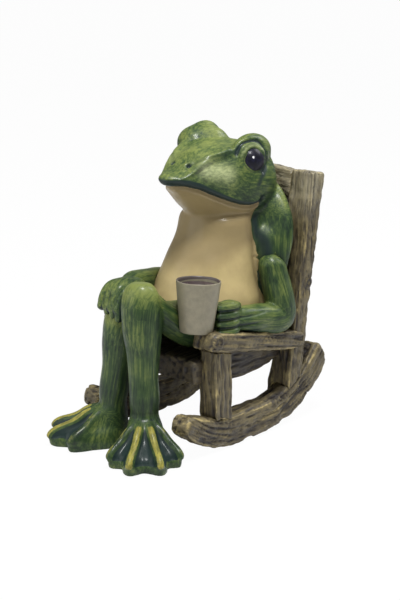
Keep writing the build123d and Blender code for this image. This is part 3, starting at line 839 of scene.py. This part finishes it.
# Legs, each with its foot: four toes with yellow stripes on the inner two, and webs between them.
TOES = (-43.0, -14.0, 14.0, 43.0)
WEBS = (-28.5, 0.0, 28.5)
INNER_TOES = (1, 2)
FOOT_TOP = (15.0, 20.0)
FOOT_REACH = (5.5, 13.0)
TOE_RISE, TOE_WIDTH = 1.5, 1.9
STRIPE_EDGE = (0.75, 1.35)
FAINT_STRIPE, FAINT_STRIPE_EDGE = 0.47, (0.6, 1.6)
WEB_SINK, WEB_SINK_BEARING, WEB_BEARING = 0.9, 40, 43
WEB_RIB_RISE, WEB_RIB_WIDTH = 0.35, 0.7
LEG_WAVE, LEG_WAVE_SIZE = 0.3, 9.0
KNEE_DENT, KNEE_DENT_AT, KNEE_DENT_SIZE = 3.0, (0.5, 13.0, 3.0), (12, 7, 9)
KNEE_SUN, KNEE_SUN_SIZE = 1.35, 9.5
for word, line, ankle, foot_turn, seed in (
    ("left", LEFT_LEG_LINE, (10.2, -45.5), 45.0, 41),
    ("right", RIGHT_LEG_LINE, (-10.2, -44.0), -50.0, 47),
):
    leg = mould("frog_leg_" + word, ["thigh_" + word, "shin_" + word, "foot_" + word], BODY_VOXEL,
                balls=beads(line[:3], (9.5, 9.3, 8.6, 7.4, 6.4)), rounds=5)
    knee = np.array(line[2])
    reach = leg.at[:, :2] - ankle
    distance = np.linalg.norm(reach, axis=1)
    bearing = np.degrees(np.arctan2(reach[:, 0], -reach[:, 1])) - foot_turn
    bearing = (bearing + 180) % 360 - 180
    on_foot = 1 - step(*FOOT_TOP, leg.at[:, 2])
    out_there = step(*FOOT_REACH, distance) * on_foot
    toe = np.zeros(len(leg.at))
    stripe = np.zeros(len(leg.at))
    for number, angle in enumerate(TOES):
        aside = np.abs(bearing - angle) * np.pi / 180 * distance
        toe = np.maximum(toe, fade(aside, TOE_WIDTH))
        if number in INNER_TOES:
            stripe = np.maximum(stripe, 1 - step(*STRIPE_EDGE, aside))
        else:
            stripe = np.maximum(stripe, FAINT_STRIPE * (1 - step(*FAINT_STRIPE_EDGE, aside)))
    web_rib = np.zeros(len(leg.at))
    for angle in WEBS:
        aside = np.abs(bearing - angle) * np.pi / 180 * distance
        web_rib = np.maximum(web_rib, fade(aside, WEB_RIB_WIDTH))
    top = step(0.0, 0.35, leg.out[:, 2])
    webbed = np.abs(bearing) < WEB_SINK_BEARING
    leg.push(out_there * top * (TOE_RISE * toe - WEB_SINK * (1 - toe) * webbed
                                + WEB_RIB_RISE * web_rib * (1 - toe))
             + LEG_WAVE * cloud(leg.at, LEG_WAVE_SIZE, seed) * (1 - out_there))
    # A dent behind the knee, where the thigh meets it.
    behind_knee = np.linalg.norm((leg.at - knee - KNEE_DENT_AT) / KNEE_DENT_SIZE, axis=1)
    leg.push(-KNEE_DENT * np.exp(-behind_knee ** 2) * step(0.0, 0.5, leg.out[:, 2]))
    leg.soften(2)
    foot_flow = np.column_stack((bearing * 0.22, leg.at[:, 2] * 0.3, distance * FLOW_SQUEEZE))
    foot_share = step(0.2, 0.8, on_foot * step(5.0, 9.0, distance))[:, None]
    leg_flow = flow_of(leg.at, smooth_path(line))
    leg.paint("flow", leg_flow * (1 - foot_share) + foot_flow * foot_share)
    between = (np.abs(bearing) < WEB_BEARING) * out_there
    leg.paint("web", between * (1 - step(0.25, 0.55, toe)) * top)
    leg.paint("stripe", stripe * step(0.3, 0.7, out_there) * top)
    knee_gap = np.linalg.norm(leg.at - knee, axis=1)
    knee_sun = (KNEE_SUN * np.exp(-(knee_gap / KNEE_SUN_SIZE) ** 4)
                * step(-5, 5, leg.at[:, 2] - knee[2]))
    leg.paint("sun", np.clip(knee_sun - 0.08 + 0.22 * cloud(leg.at, 12.0, seed + 1), -0.5, 1.2))
    leg.paint("shade", np.clip(-leg.out[:, 2] * 0.5 - 0.15, 0, 1) * step(30, 40, leg.at[:, 2]))
    hand_over(leg, frog_finish, "frog_green", "thigh_" + word, "shin_" + word, "foot_" + word)

# Cup and coffee, as rings of radius and height over the cup's foot.
CUP_FOOT = np.array((21.6, -26.6, 51.0))
CUP_LEAN = radians(4.0)
CUP_PROFILE = [(0, 0), (6.2, 0), (6.8, 0.25), (7.05, 0.9), (9.25, 20.9), (9.3, 21.4),
               (9.05, 21.75), (8.6, 21.6), (8.35, 21.0), (8.2, 19.4), (6.2, 2.4), (5.6, 1.9),
               (0, 1.8)]
COFFEE_PROFILE = [(0, 19.3), (4, 19.25), (7.4, 19.5), (8.12, 19.9), (8.1, 18.8), (0, 18.0)]
SPIN_STEPS = 64


def turned(name, profile):
    """A round piece spun from its profile, standing at the cup's foot and leaning with it."""
    shape = bmesh.new()
    corners = [shape.verts.new((radius * MM, 0, height * MM)) for radius, height in profile]
    edges = [shape.edges.new(pair) for pair in zip(corners, corners[1:])]
    bmesh.ops.spin(shape, geom=corners + edges, cent=(0, 0, 0), axis=UP, angle=2 * pi,
                   steps=SPIN_STEPS, use_merge=True)
    bmesh.ops.remove_doubles(shape, verts=shape.verts, dist=MERGE_GAP)
    bmesh.ops.recalc_face_normals(shape, faces=shape.faces)
    tilt = Matrix.Rotation(-CUP_LEAN, 4, "X")
    stood = Matrix.Translation(place(CUP_FOOT)) @ tilt
    bmesh.ops.transform(shape, matrix=stood, verts=shape.verts)
    obj = stand(name, shape)
    fine = obj.modifiers.new("fine", "SUBSURF")
    fine.levels = fine.render_levels = 2
    finish_shape(obj)
    return Skin(obj)


CUP_WAVE, CUP_WAVE_SIZE = 0.12, 6.0
RIM_SHIFT = (0, 1.45)
INNER_RIM_HEIGHT, INNER_RIM_EDGE = (70.4, 71.6), (8.7, 9.3)
cup = turned("cup_body", CUP_PROFILE)
cup.push(CUP_WAVE * cloud(cup.at, CUP_WAVE_SIZE, 71))
from_rim_middle = np.linalg.norm(cup.at[:, :2] - (CUP_FOOT[:2] + RIM_SHIFT), axis=1)
# The rim's inner top is painted darker.
cup.paint("inner_rim_dark", step(*INNER_RIM_HEIGHT, cup.at[:, 2]) * (1 - step(*INNER_RIM_EDGE, from_rim_middle)))
hand_over(cup, cup_finish, "cup_grey", "cup")
coffee = turned("coffee_fill", COFFEE_PROFILE)
hand_over(coffee, coffee_finish, "coffee_brown", "coffee")


# Floor, backdrop and light.
WHITE = (1, 1, 1, 1)
FLOOR_GREY = (0.78, 0.78, 0.78)
FLOOR_HALF = 6.0
FLOOR_DROP = 0.0002
FLOOR_GLOW = 0.97
SKY_LIGHT = 0.30


def camera_sees(tree, lit, shown, output, share):
    """The camera sees the shown shader, by a share of it, and every other ray the lit one."""
    ray = tree.nodes.new("ShaderNodeLightPath")
    part = tree.nodes.new("ShaderNodeMath")
    part.operation = "MULTIPLY"
    part.inputs[1].default_value = share
    both = tree.nodes.new("ShaderNodeMixShader")
    tree.links.new(ray.outputs["Is Camera Ray"], part.inputs[0])
    tree.links.new(part.outputs[0], both.inputs["Fac"])
    tree.links.new(lit.outputs[0], both.inputs[1])
    tree.links.new(shown.outputs[0], both.inputs[2])
    tree.links.new(both.outputs[0], output.inputs["Surface"])


shape = bmesh.new()
bmesh.ops.create_grid(shape, x_segments=1, y_segments=1, size=FLOOR_HALF)
floor = stand("floor", shape)
floor.location = (0, 0, -FLOOR_DROP)
floor_paint = Finish("floor paint", roughness=0.9, specular=0.1)
floor_paint.colour(FLOOR_GREY)
floor.data.materials.append(floor_paint.material)
glow = floor_paint.tree.nodes.new("ShaderNodeEmission")
glow.inputs["Color"].default_value = WHITE
glow.inputs["Strength"].default_value = 1.0
camera_sees(floor_paint.tree, floor_paint.shader, glow,
            floor_paint.tree.nodes["Material Output"], FLOOR_GLOW)

world = bpy.data.worlds.new("studio")
bpy.context.scene.world = world
world.use_nodes = True
sky = world.node_tree.nodes["Background"]
sky.inputs["Color"].default_value = WHITE
sky.inputs["Strength"].default_value = SKY_LIGHT
backdrop = world.node_tree.nodes.new("ShaderNodeBackground")
backdrop.inputs["Color"].default_value = WHITE
backdrop.inputs["Strength"].default_value = 1.0
camera_sees(world.node_tree, sky, backdrop, world.node_tree.nodes["World Output"], 1.0)


def lamp(name, spot, aim, size, power):
    """A soft square lamp aimed at a point: spot, aim and size in drawn mm, power in watts."""
    light = bpy.data.lights.new(name, "AREA")
    light.size = size * MM
    light.energy = power
    obj = bpy.data.objects.new(name, light)
    turned_to = (Vector(place(spot)) - Vector(place(aim))).to_track_quat("Z", "Y")
    obj.matrix_world = Matrix.Translation(place(spot)) @ turned_to.to_matrix().to_4x4()
    bpy.context.scene.collection.objects.link(obj)


lamp("key", (170, -120, 690), (0, -5, 70), 180, 5.6)
lamp("fill", (-260, -520, 300), (0, -5, 60), 500, 1.5)
lamp("rim", (120, 420, 480), (0, 0, 80), 300, 2.0)

bpy.context.scene.view_settings.view_transform = "Standard"
